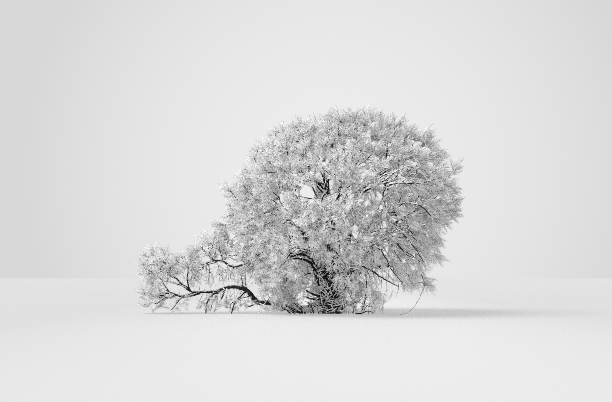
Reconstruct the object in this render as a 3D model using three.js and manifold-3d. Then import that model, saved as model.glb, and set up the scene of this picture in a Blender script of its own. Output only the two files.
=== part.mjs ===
// A bare old willow in winter, its twigs thick with rime: a short stout trunk, a ring of boughs,
// a round crown that comes nearly to the ground, and on the left one limb that has sunk to the
// ground and grows on in arches. Millimetres, +Z up. The origin is in the flat cut under the
// trunk, +X is the viewer's right and -Y is the side towards the viewer.
import * as THREE from "three";
import { mergeVertices } from "three/addons/utils/BufferGeometryUtils.js";
import Module from "manifold-3d";

const wasm = await Module();
wasm.setup();

// Driving sizes of the whole tree
const CROWN_CENTRE = new THREE.Vector3(500, 0, 4750);
const GROUND_CLEARANCE = 30; // lowest point of a mass of twigs
const JOINT_GAP = 8; // air between a limb and what it meets
const MASS_GAP = 12; // air between two masses of twigs, on each side of their shared plane
const LIMB_SIDES = 6;
const LIMB_STEP = 760; // length of one faceted stretch of a limb
const LIMB_FINEST = 3; // cuts leave a limb no detail finer than this
const MASS_DETAIL = 2; // subdivisions of the ball that a mass starts from
const SPACE_DETAIL = 1; // subdivisions of the ball that an open space starts from

// Trunk: radius by height, from the root flare to the fork
const TRUNK_HEIGHT = 1520;
const TRUNK_SIDES = 18;
const TRUNK_RADII = [700, 600, 535, 505, 490, 500, 520, 490];
const TRUNK_LEAN = new THREE.Vector2(-110, 30); // how far the fork stands from the foot
const ROOT_LOBES = 5;
const ROOT_LOBE_DEPTH = 0.13;
const FLUTE_DEPTH = 0.035;

// The crown's reach from its centre, by elevation in degrees: how far the furthest twigs come on
// the right and on the left. In front and behind it is the mean of the two.
const REACH_ELEVATIONS = [-50, -30, -10, 12, 32, 50, 70, 90];
const REACH_RIGHT = [5350, 5350, 5650, 6300, 6350, 5900, 5450, 5150];
const REACH_LEFT = [5350, 5500, 5750, 5950, 5250, 5250, 5150, 5150];

// The crown's masses of twigs stand in rings, each a little off its even place and size. A mass is
// named after its ring and its place in it.
const SPREAD_JITTER = 0.1;
const CROWN_RINGS = [
  { name: "crown_top", elevation: 90, astray: 6, spread: 2700, depth: 1500, azimuths: [0] },
  { name: "crown_high", elevation: 44, astray: 8, spread: 2600, depth: 1700, azimuths: [0, 72, 144, 216, 288] },
  {
    name: "crown_mid", elevation: 8, astray: 8, spread: 2450, depth: 1750,
    azimuths: [0, 51, 103, 154, 206, 257, 309],
  },
  {
    name: "crown_low", elevation: -22, astray: 5, spread: 2150, depth: 1550,
    azimuths: [26, 77, 129, 180, 231, 283, 334],
  },
  {
    name: "crown_skirt", elevation: -46, astray: 2, spread: 1750, depth: 1400,
    azimuths: [2, 55, 108, 165, 305],
  },
];

// Masses outside the round crown: centre, half sizes
const SIDE_MASSES = [
  { name: "crown_foot", centre: [-2600, -1250, 1500], half: [1250, 1100, 1420] },
  { name: "wing_inner", centre: [-4500, 700, 3450], half: [1250, 1500, 850] },
  { name: "wing_outer", centre: [-5850, 450, 3220], half: [980, 1250, 820] },
  { name: "wing_hanging", centre: [-6850, 100, 2250], half: [700, 950, 1050] },
  { name: "fallen_top", centre: [-8300, -250, 2350], half: [1130, 1250, 1000] },
  { name: "fallen_low", centre: [-8600, -450, 880], half: [820, 1100, 760] },
  { name: "fallen_under", centre: [-5000, -250, 450], half: [1750, 900, 420] },
  { name: "sucker_thicket", centre: [1650, -350, 700], half: [950, 800, 640] },
];

// Spaces that the masses of twigs leave open: the bay in front of the trunk, the bay under the
// arched bough, the bough's own stretch, the gap over the ground on the right, and a slot high on
// the left where the sky shows through
const OPEN_SPACES = [
  { centre: [50, -4300, 400], half: [800, 5200, 1150], slope: 0 },
  { centre: [-750, -4300, 1300], half: [720, 5200, 1550], slope: 0 },
  { centre: [-1350, -4300, 2620], half: [750, 5200, 400], slope: 0 },
  { centre: [4300, 0, -300], half: [1900, 7000, 1350], slope: 0 },
  { centre: [-1200, 0, 5830], half: [560, 9000, 230], slope: 0.0975 },
];

// Boughs and limbs: points along each one, and its radius at the first and the last point
const BOUGHS = [
  {
    name: "bough_centre", radii: [205, 75],
    points: [[-60, 30, 1440], [180, 90, 2500], [300, 110, 3300], [80, 50, 4600], [-90, -40, 5650], [-180, -80, 6350]],
  },
  {
    name: "bough_left_high", radii: [170, 75],
    points: [[-240, 170, 1440], [-480, 270, 2700], [-1300, 300, 3850], [-2450, 250, 4850]],
  },
  {
    name: "bough_right_high", radii: [170, 70],
    points: [[190, 60, 1420], [640, 100, 2600], [950, 60, 4000], [1230, 0, 5500], [1650, 0, 6250]],
  },
  {
    name: "bough_right_mid", radii: [165, 70],
    points: [[300, -90, 1280], [1300, -180, 2450], [2400, -240, 3650], [3300, -260, 4550]],
  },
  {
    name: "bough_right_low", radii: [125, 55],
    points: [[300, -160, 950], [1150, -420, 1800], [2050, -620, 2280], [2900, -820, 2250]],
  },
  {
    name: "bough_front_left", radii: [140, 65],
    points: [[-110, -320, 1310], [-30, -1050, 2400], [-230, -1700, 3250], [-750, -2350, 4000]],
  },
  {
    name: "bough_front_right", radii: [140, 65],
    points: [[190, -260, 1310], [850, -1300, 2600], [1500, -2450, 3850]],
  },
  {
    name: "bough_front_high", radii: [135, 60],
    points: [[-90, -200, 1450], [60, -750, 3000], [180, -1350, 4500], [320, -1950, 5750]],
  },
  {
    name: "bough_back_left", radii: [150, 65],
    points: [[-280, 330, 1250], [-950, 1350, 2600], [-1350, 2400, 3900]],
  },
  {
    name: "bough_back_right", radii: [150, 65],
    points: [[120, 340, 1300], [950, 1350, 2600], [1850, 2350, 3850]],
  },
  {
    name: "bough_back_high", radii: [135, 60],
    points: [[-110, 290, 1440], [60, 850, 3000], [220, 1500, 4500], [350, 2100, 5700]],
  },
  {
    name: "bough_left_arch", radii: [130, 60],
    points: [
      [-450, -140, 1160], [-640, -250, 1560], [-780, -310, 1840], [-900, -360, 2160], [-1010, -400, 2480],
      [-1200, -450, 2720], [-1500, -520, 2830], [-1900, -600, 2740], [-2150, -660, 2600],
    ],
  },
  {
    name: "limb_left", radii: [88, 45],
    points: [
      [-3900, -850, 2520], [-4300, -760, 2280], [-4800, -600, 2200], [-5300, -450, 2470],
      [-5750, -350, 2460], [-6200, -250, 2300],
    ],
  },
  {
    name: "fallen_butt", radii: [210, 135],
    points: [[-420, -170, 430], [-1250, -330, 215], [-1950, -360, 330], [-2700, -340, 440], [-3300, -300, 450]],
  },
  {
    name: "fallen_arch", radii: [128, 108],
    points: [[-3300, -300, 450], [-3620, -290, 640], [-3900, -270, 930], [-4400, -240, 1210]],
  },
  {
    name: "fallen_back", radii: [106, 78],
    points: [[-4400, -240, 1210], [-4950, -220, 1230], [-5440, -220, 1030], [-5950, -230, 1010], [-6600, -240, 1000]],
  },
  {
    name: "fallen_fork_high", radii: [48, 28],
    points: [[-6600, -240, 1000], [-6950, -260, 1130], [-7250, -280, 1400], [-7550, -280, 1720]],
  },
  {
    name: "fallen_fork_low", radii: [56, 32],
    points: [[-6350, -260, 990], [-6750, -340, 850], [-7200, -370, 800], [-7600, -380, 930]],
  },
  {
    name: "fallen_prop_outer", radii: [52, 30],
    points: [[-5440, -220, 1030], [-5700, -330, 930], [-5900, -430, 700], [-6010, -500, 430], [-6030, -540, 45]],
  },
  {
    name: "fallen_prop_inner", radii: [46, 28],
    points: [[-4150, -260, 1080], [-4400, -400, 800], [-4640, -500, 540], [-4800, -560, 40]],
  },
];

const BARK = new THREE.MeshStandardMaterial({ color: 0x3d3a38, roughness: 0.9, metalness: 0 });
const RIME = new THREE.MeshStandardMaterial({ color: 0xd9dcde, roughness: 0.7, metalness: 0 });

// A repeatable stream of numbers from 0 to 1
function seededRandom(seed) {
  let state = seed >>> 0;
  return () => {
    state = (state + 0x6d2b79f5) >>> 0;
    let mixed = Math.imul(state ^ (state >>> 15), state | 1);
    mixed ^= mixed + Math.imul(mixed ^ (mixed >>> 7), mixed | 61);
    return ((mixed ^ (mixed >>> 14)) >>> 0) / 2 ** 32;
  };
}

// A closed mesh as a solid, its shared vertices merged
function solidOf(geometry) {
  const bare = geometry.clone();
  bare.deleteAttribute("normal");
  bare.deleteAttribute("uv");
  const merged = mergeVertices(bare, 1e-3);
  return new wasm.Manifold(
    new wasm.Mesh({
      numProp: 3,
      vertProperties: new Float32Array(merged.attributes.position.array),
      triVerts: new Uint32Array(merged.index.array),
    }),
  );
}

// A solid as a mesh geometry with flat faces
function geometryOf(solid) {
  const mesh = solid.getMesh();
  const places = new Float32Array(mesh.numVert * 3);
  for (let i = 0; i < mesh.numVert; i++) {
    places.set(mesh.vertProperties.subarray(i * mesh.numProp, i * mesh.numProp + 3), i * 3);
  }
  const geometry = new THREE.BufferGeometry();
  geometry.setAttribute("position", new THREE.BufferAttribute(places, 3));
  geometry.setIndex(new THREE.BufferAttribute(new Uint32Array(mesh.triVerts), 1));
  const flat = geometry.toNonIndexed();
  flat.computeVertexNormals();
  return flat;
}

// The biggest body that a cut leaves
function mainBody(solid) {
  const bodies = solid.decompose();
  return bodies.reduce((a, b) => (b.volume() > a.volume() ? b : a));
}

// The body that a cut leaves nearest a limb's first point
function rootBody(solid, { name, points: [[x, y, z]] }) {
  if (solid.isEmpty()) throw new Error(`${name} lies wholly inside a mass of twigs`);
  const away = (body) => {
    const { min, max } = body.boundingBox();
    return new THREE.Box3(new THREE.Vector3(...min), new THREE.Vector3(...max))
      .distanceToPoint(new THREE.Vector3(x, y, z));
  };
  return solid.decompose().reduce((a, b) => (away(b) < away(a) ? b : a));
}

// A value between the entries of a list that are spread evenly from 0 to 1
function along(list, t) {
  const place = t * (list.length - 1);
  const i = Math.min(Math.floor(place), list.length - 2);
  return THREE.MathUtils.lerp(list[i], list[i + 1], place - i);
}

// A value read from a table of stops, as the crown's reach by elevation
function readTable(stops, values, x) {
  const i = THREE.MathUtils.clamp(stops.findIndex((stop) => stop >= x), 1, stops.length - 1);
  const share = THREE.MathUtils.clamp((x - stops[i - 1]) / (stops[i] - stops[i - 1]), 0, 1);
  return THREE.MathUtils.lerp(values[i - 1], values[i], share);
}

// Trunk: an upright drum given its flare, root lobes, flutes and lean
function trunkSolid(grow) {
  const steps = TRUNK_RADII.length - 1;
  const geometry = new THREE.CylinderGeometry(1, 1, 1, TRUNK_SIDES, steps);
  const places = geometry.attributes.position;
  for (let i = 0; i < places.count; i++) {
    const t = places.getY(i) + 0.5;
    const offAxis = Math.hypot(places.getX(i), places.getZ(i));
    const angle = Math.atan2(places.getZ(i), places.getX(i));
    const atRoot = (1 - t) ** 3;
    const lobes = ROOT_LOBE_DEPTH * atRoot * Math.cos(ROOT_LOBES * angle + 0.6);
    const flutes = FLUTE_DEPTH * Math.cos(3 * angle + 2 * t);
    const radius = offAxis * ((along(TRUNK_RADII, t) * (1 + lobes + flutes)) + grow);
    places.setXYZ(
      i,
      radius * Math.cos(angle) + TRUNK_LEAN.x * t,
      -radius * Math.sin(angle) + TRUNK_LEAN.y * t,
      t * (TRUNK_HEIGHT + grow),
    );
  }
  return solidOf(geometry);
}

// Bough or limb: a round bar bent along a smooth curve, with its taper
function limbSolid({ points, radii }, grow) {
  const curve = new THREE.CatmullRomCurve3(
    points.map((point) => new THREE.Vector3(...point)), false, "centripetal",
  );
  const steps = Math.max(4, Math.round(curve.getLength() / LIMB_STEP));
  const frames = curve.computeFrenetFrames(steps);
  const geometry = new THREE.CylinderGeometry(1, 1, 1, LIMB_SIDES, steps);
  const places = geometry.attributes.position;
  const end = new THREE.Vector3();
  for (let i = 0; i < places.count; i++) {
    const ring = Math.round((0.5 - places.getY(i)) * steps);
    const t = ring / steps;
    const radius = THREE.MathUtils.lerp(radii[0], radii[1], t) + grow;
    curve.getPointAt(t, end);
    end.addScaledVector(frames.normals[ring], places.getX(i) * radius);
    end.addScaledVector(frames.binormals[ring], -places.getZ(i) * radius);
    if (ring === 0) end.addScaledVector(frames.tangents[0], -grow);
    if (ring === steps) end.addScaledVector(frames.tangents[steps], grow);
    places.setXYZ(i, end.x, end.y, end.z);
  }
  return facingOut(geometry);
}

// A swept bar can come out with its faces turned in: this turns them out
function facingOut(geometry) {
  const solid = solidOf(geometry);
  if (solid.volume() > 0) return solid;
  const turned = geometry.clone();
  const index = turned.index.array;
  for (let i = 0; i < index.length; i += 3) [index[i + 1], index[i + 2]] = [index[i + 2], index[i + 1]];
  return solidOf(turned);
}

// Mass of twigs: a ball pushed out into a few rounded lumps, then stretched to its half sizes
const LUMPS = 10;
const LUMP_HEIGHT = 0.15;
const LUMP_EDGE = 0.64; // cosine of the angle from a lump's middle to its edge
const ROUGHNESS = 0.03;
const MASS_FINEST = 9; // cuts leave a mass no detail finer than this
function massSolid({ centre, half, facing }, seed, grow) {
  const random = seededRandom(seed);
  const lumps = [];
  for (let i = 0; i < LUMPS; i++) {
    const z = 1 - (2 * (i + 0.5)) / LUMPS;
    const turn = i * 2.39996 + random() * 0.9;
    const ring = Math.sqrt(1 - z * z);
    lumps.push(new THREE.Vector3(ring * Math.cos(turn), ring * Math.sin(turn), z));
  }
  const geometry = new THREE.IcosahedronGeometry(1, MASS_DETAIL);
  const places = geometry.attributes.position;
  const stretch = new THREE.Matrix4().makeScale(...half.map((size) => size + grow));
  const turned = new THREE.Matrix4().makeRotationFromQuaternion(
    new THREE.Quaternion().setFromUnitVectors(new THREE.Vector3(0, 0, 1), facing),
  );
  const place = new THREE.Matrix4().setPosition(centre).multiply(turned).multiply(stretch);
  const point = new THREE.Vector3();
  for (let i = 0; i < places.count; i++) {
    point.fromBufferAttribute(places, i).normalize();
    const nearest = Math.max(...lumps.map((lump) => lump.dot(point)));
    const lump = THREE.MathUtils.smoothstep(nearest, LUMP_EDGE, 1);
    const rough = ROUGHNESS * Math.sin(41 * point.x + 67 * point.y + 53 * point.z + seed);
    point.multiplyScalar(1 - LUMP_HEIGHT + LUMP_HEIGHT * lump + rough).applyMatrix4(place);
    places.setXYZ(i, point.x, point.y, point.z);
  }
  return solidOf(geometry);
}

// Where the crown's masses stand, worked out from the rings and the crown's reach
function crownMasses() {
  const masses = [];
  const random = seededRandom(5);
  const jitter = (size) => size * (2 * random() - 1);
  for (const ring of CROWN_RINGS) {
    for (const [i, azimuth] of ring.azimuths.entries()) {
      const turn = THREE.MathUtils.degToRad(azimuth + jitter(ring.astray));
      const tilt = THREE.MathUtils.degToRad(ring.elevation + jitter(ring.astray));
      const spread = ring.spread * (1 + jitter(SPREAD_JITTER));
      const facing = new THREE.Vector3(
        Math.cos(turn) * Math.cos(tilt), Math.sin(turn) * Math.cos(tilt), Math.sin(tilt),
      );
      const rightness = (1 + Math.cos(turn) * Math.cos(tilt)) / 2;
      const reach = THREE.MathUtils.lerp(
        readTable(REACH_ELEVATIONS, REACH_LEFT, ring.elevation),
        readTable(REACH_ELEVATIONS, REACH_RIGHT, ring.elevation),
        rightness,
      );
      masses.push({
        name: ring.azimuths.length > 1 ? `${ring.name}_${i + 1}` : ring.name,
        centre: CROWN_CENTRE.clone().addScaledVector(facing, reach - ring.depth),
        half: [spread, spread, ring.depth],
        facing,
      });
    }
  }
  return masses;
}

function sideMasses() {
  return SIDE_MASSES.map(({ name, centre, half }) => ({
    name,
    centre: new THREE.Vector3(...centre),
    half,
    facing: new THREE.Vector3(0, 0, 1),
  }));
}

// The plane that two neighbouring masses share, nearer the smaller one
function sharedPlane(a, b) {
  const across = b.centre.clone().sub(a.centre);
  const distance = across.length();
  const sizeA = Math.cbrt(a.half[0] * a.half[1] * a.half[2]);
  const sizeB = Math.cbrt(b.half[0] * b.half[1] * b.half[2]);
  const fromA = (distance ** 2 + sizeA ** 2 - sizeB ** 2) / (2 * distance);
  return { towards: across.divideScalar(distance), fromA, apart: distance > (sizeA + sizeB) * 1.35 };
}

// Each mass is trimmed on the side of its neighbours and at the ground, and leaves the spaces open
function cutMass(mass, masses, spaces, trunk) {
  let solid = mass.ball;
  for (const other of masses) {
    if (other === mass) continue;
    const { towards, fromA, apart } = sharedPlane(mass, other);
    if (apart) continue;
    const keepAt = mass.centre.dot(towards) + fromA - MASS_GAP;
    solid = solid.trimByPlane([-towards.x, -towards.y, -towards.z], -keepAt);
  }
  solid = solid.trimByPlane([0, 0, 1], GROUND_CLEARANCE).subtract(trunk);
  for (const space of spaces) solid = solid.subtract(space);
  return mainBody(solid).simplify(MASS_FINEST);
}

// A smooth ball stretched into an open space, sheared so that it climbs away from the viewer
function spaceSolid({ centre, half, slope }) {
  const shear = new THREE.Matrix4().makeShear(0, 0, 0, slope, 0, 0);
  const geometry = new THREE.IcosahedronGeometry(1, SPACE_DETAIL);
  geometry.applyMatrix4(
    new THREE.Matrix4().setPosition(...centre).multiply(shear).multiply(new THREE.Matrix4().makeScale(...half)),
  );
  return solidOf(geometry);
}

function addPart(group, name, solid, material) {
  const mesh = new THREE.Mesh(geometryOf(solid), material);
  mesh.name = name;
  group.add(mesh);
}

const tree = new THREE.Group();
const wood = new THREE.Group();
const twigs = new THREE.Group();
tree.add(wood, twigs);

const masses = [...crownMasses(), ...sideMasses()];
for (const [i, mass] of masses.entries()) {
  mass.ball = massSolid(mass, 11 + i, 0);
  mass.grownBall = massSolid(mass, 11 + i, JOINT_GAP);
}

// Each limb ends where it meets an earlier limb or the ball of a mass
const grownLimbs = [trunkSolid(JOINT_GAP)];
addPart(wood, "trunk", trunkSolid(0), BARK);
for (const bough of BOUGHS) {
  let solid = limbSolid(bough, 0).trimByPlane([0, 0, 1], 0);
  for (const earlier of grownLimbs) solid = solid.subtract(earlier);
  for (const mass of masses) solid = solid.subtract(mass.grownBall);
  addPart(wood, bough.name, rootBody(solid, bough).simplify(LIMB_FINEST), BARK);
  grownLimbs.push(limbSolid(bough, JOINT_GAP));
}

const spaces = OPEN_SPACES.map(spaceSolid);
for (const mass of masses) {
  addPart(twigs, mass.name, cutMass(mass, masses, spaces, grownLimbs[0]), RIME);
}

export default tree;
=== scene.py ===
# A bare old willow in winter, white with rime: a stout trunk, boughs that fork into a round crown,
# and on the left a limb that has sunk to the ground and grows on in arches. Metres, +Z up.
import math

import bpy
import numpy as np
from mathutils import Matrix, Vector, noise
from mathutils.bvhtree import BVHTree


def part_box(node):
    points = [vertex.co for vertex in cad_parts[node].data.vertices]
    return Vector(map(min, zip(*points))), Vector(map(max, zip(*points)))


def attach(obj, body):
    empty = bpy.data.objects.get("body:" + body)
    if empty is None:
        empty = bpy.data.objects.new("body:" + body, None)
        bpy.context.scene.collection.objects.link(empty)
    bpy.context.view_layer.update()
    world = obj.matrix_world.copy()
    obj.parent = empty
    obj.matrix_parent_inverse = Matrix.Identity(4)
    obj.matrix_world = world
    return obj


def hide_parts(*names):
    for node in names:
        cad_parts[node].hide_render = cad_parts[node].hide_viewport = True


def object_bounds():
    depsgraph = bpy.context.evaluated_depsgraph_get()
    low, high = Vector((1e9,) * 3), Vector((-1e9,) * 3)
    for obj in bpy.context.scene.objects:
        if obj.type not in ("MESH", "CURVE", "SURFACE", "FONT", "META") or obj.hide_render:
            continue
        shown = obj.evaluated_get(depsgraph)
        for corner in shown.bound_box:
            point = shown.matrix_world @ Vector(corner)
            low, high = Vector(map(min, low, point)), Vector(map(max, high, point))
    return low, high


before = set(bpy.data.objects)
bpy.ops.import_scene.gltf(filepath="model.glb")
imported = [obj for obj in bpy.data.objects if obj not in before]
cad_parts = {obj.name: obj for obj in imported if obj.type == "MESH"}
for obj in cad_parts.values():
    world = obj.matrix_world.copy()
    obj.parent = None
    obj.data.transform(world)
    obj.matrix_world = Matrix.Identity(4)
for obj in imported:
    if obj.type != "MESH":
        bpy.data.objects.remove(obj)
cad_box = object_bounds()

SEED = 24
rng = np.random.default_rng(SEED)

# The crown, and the point that its twigs fan out from, with a higher one for the twigs low on the
# right, which hang: how much it counts by X, and by Z
CROWN_CENTRE = np.array([0.5, 0.0, 4.75])
FAN_CENTRE = np.array([0.1, 0.2, 3.3])
HIGH_FAN_CENTRE = np.array([0.3, 0.2, 6.5])
HIGH_FAN_BY_X, HIGH_FAN_BY_Z = ((1.0, 2.6), (0, 1)), ((6.5, 8.5), (1, 0))

# Trunk: radius by height from the root flare to the fork, its lean, and the waves round it
TRUNK_HEIGHT = 1.52
TRUNK_RADII = [0.70, 0.60, 0.535, 0.505, 0.49, 0.50, 0.50, 0.40]
TRUNK_LEAN = np.array([-0.11, 0.03])
ROOT_LOBES, ROOT_LOBE_DEPTH = 5, 0.13
FLUTES, FLUTE_DEPTH = 3, 0.035
TRUNK_RINGS, TRUNK_SIDES = 92, 176

# Boughs and limbs: radius at the first and the last point, and points along each one in centimetres
LIMBS = {
    "bough_centre": ((0.205, 0.075), [(-6, 3, 124), (18, 9, 250), (30, 11, 330), (8, 5, 460), (-9, -4, 565),
        (-18, -8, 635)]),
    "bough_left_high": ((0.17, 0.075), [(-20, 14, 125), (-48, 27, 270), (-130, 30, 385), (-245, 25, 485)]),
    "bough_right_high": ((0.17, 0.07), [(16, 5, 122), (64, 10, 260), (95, 6, 400), (123, 0, 550),
        (165, 0, 625)]),
    "bough_right_mid": ((0.165, 0.07), [(20, -7, 108), (130, -18, 245), (240, -24, 365), (330, -26, 455)]),
    "bough_right_low": ((0.125, 0.055), [(20, -12, 85), (115, -42, 180), (205, -62, 228), (290, -82, 225)]),
    "bough_front_left": ((0.14, 0.065), [(-10, -24, 115), (-3, -105, 240), (-23, -170, 325),
        (-75, -235, 400)]),
    "bough_front_right": ((0.14, 0.065), [(12, -20, 115), (85, -130, 260), (150, -245, 385)]),
    "bough_front_high": ((0.135, 0.06), [(-9, -15, 125), (6, -75, 300), (18, -135, 450), (32, -195, 575)]),
    "bough_back_left": ((0.15, 0.065), [(-24, 28, 110), (-95, 135, 260), (-135, 240, 390)]),
    "bough_back_right": ((0.15, 0.065), [(10, 28, 112), (95, 135, 260), (185, 235, 385)]),
    "bough_back_high": ((0.135, 0.06), [(-11, 24, 125), (6, 85, 300), (22, 150, 450), (35, 210, 570)]),
    "bough_left_arch": ((0.12, 0.05), [(-38, -10, 100), (-61, -25, 156), (-72, -31, 184), (-82, -36, 216),
        (-90, -40, 246), (-106, -45, 271), (-130, -52, 283), (-165, -60, 282), (-200, -66, 272)]),
    "limb_left": ((0.078, 0.032), [(-330, -100, 262), (-385, -86, 257), (-430, -76, 233), (-480, -60, 226),
        (-530, -45, 253), (-575, -35, 253), (-620, -25, 235)]),
    "fallen_butt": ((0.2, 0.11), [(-36, -15, 44), (-125, -33, 21), (-195, -36, 34), (-270, -34, 50),
        (-330, -30, 52)]),
    "fallen_arch": ((0.13, 0.108), [(-320, -30, 50), (-355, -29, 55), (-375, -28, 71), (-394, -27, 96),
        (-420, -25, 117), (-445, -24, 127)]),
    "fallen_back": ((0.102, 0.046), [(-437, -24, 124), (-477, -23, 129), (-505, -22, 125), (-533, -22, 116),
        (-560, -22, 105), (-595, -23, 103), (-660, -24, 102)]),
    "fallen_fork_high": ((0.043, 0.026), [(-650, -24, 99), (-695, -26, 113), (-725, -28, 140),
        (-755, -28, 172)]),
    "fallen_fork_low": ((0.056, 0.032), [(-635, -26, 99), (-675, -34, 85), (-720, -37, 80),
        (-760, -38, 93)]),
    "fallen_prop_outer": ((0.052, 0.03), [(-544, -22, 103), (-570, -33, 93), (-590, -43, 70),
        (-601, -50, 43), (-603, -54, 2)]),
    "fallen_prop_inner": ((0.046, 0.028), [(-415, -26, 108), (-440, -40, 80), (-464, -50, 54),
        (-480, -56, 2)]),
}
LIMB_STEP = 0.07 # between rings of faces along a limb
BARK_FACET = 0.032 # width of the faces around it
LIMB_SWELL, SWELL_LENGTH = 0.35, 1.6 # how much thicker its foot is, and for how long, in radii

# Bark relief: knobs, and furrows between long ridges, deepest on the trunk
LIMB_KNOBS, TRUNK_KNOBS = 0.1, 0.05
FURROW_DEPTH, FULL_DEPTH_RADIUS = 0.024, 0.4 # they are shallower on a limb thinner than that
TRUNK_FURROWS = 1.3 # times as deep
FURROW_SHARPNESS, CRACK_SHARE = 4.5, 0.25
FURROWS_ACROSS, FURROWS_ALONG = 17.0, 4.2 # how often they come, in noise steps per metre
CRACKS_ACROSS, CRACKS_ALONG = 60, 20

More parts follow.
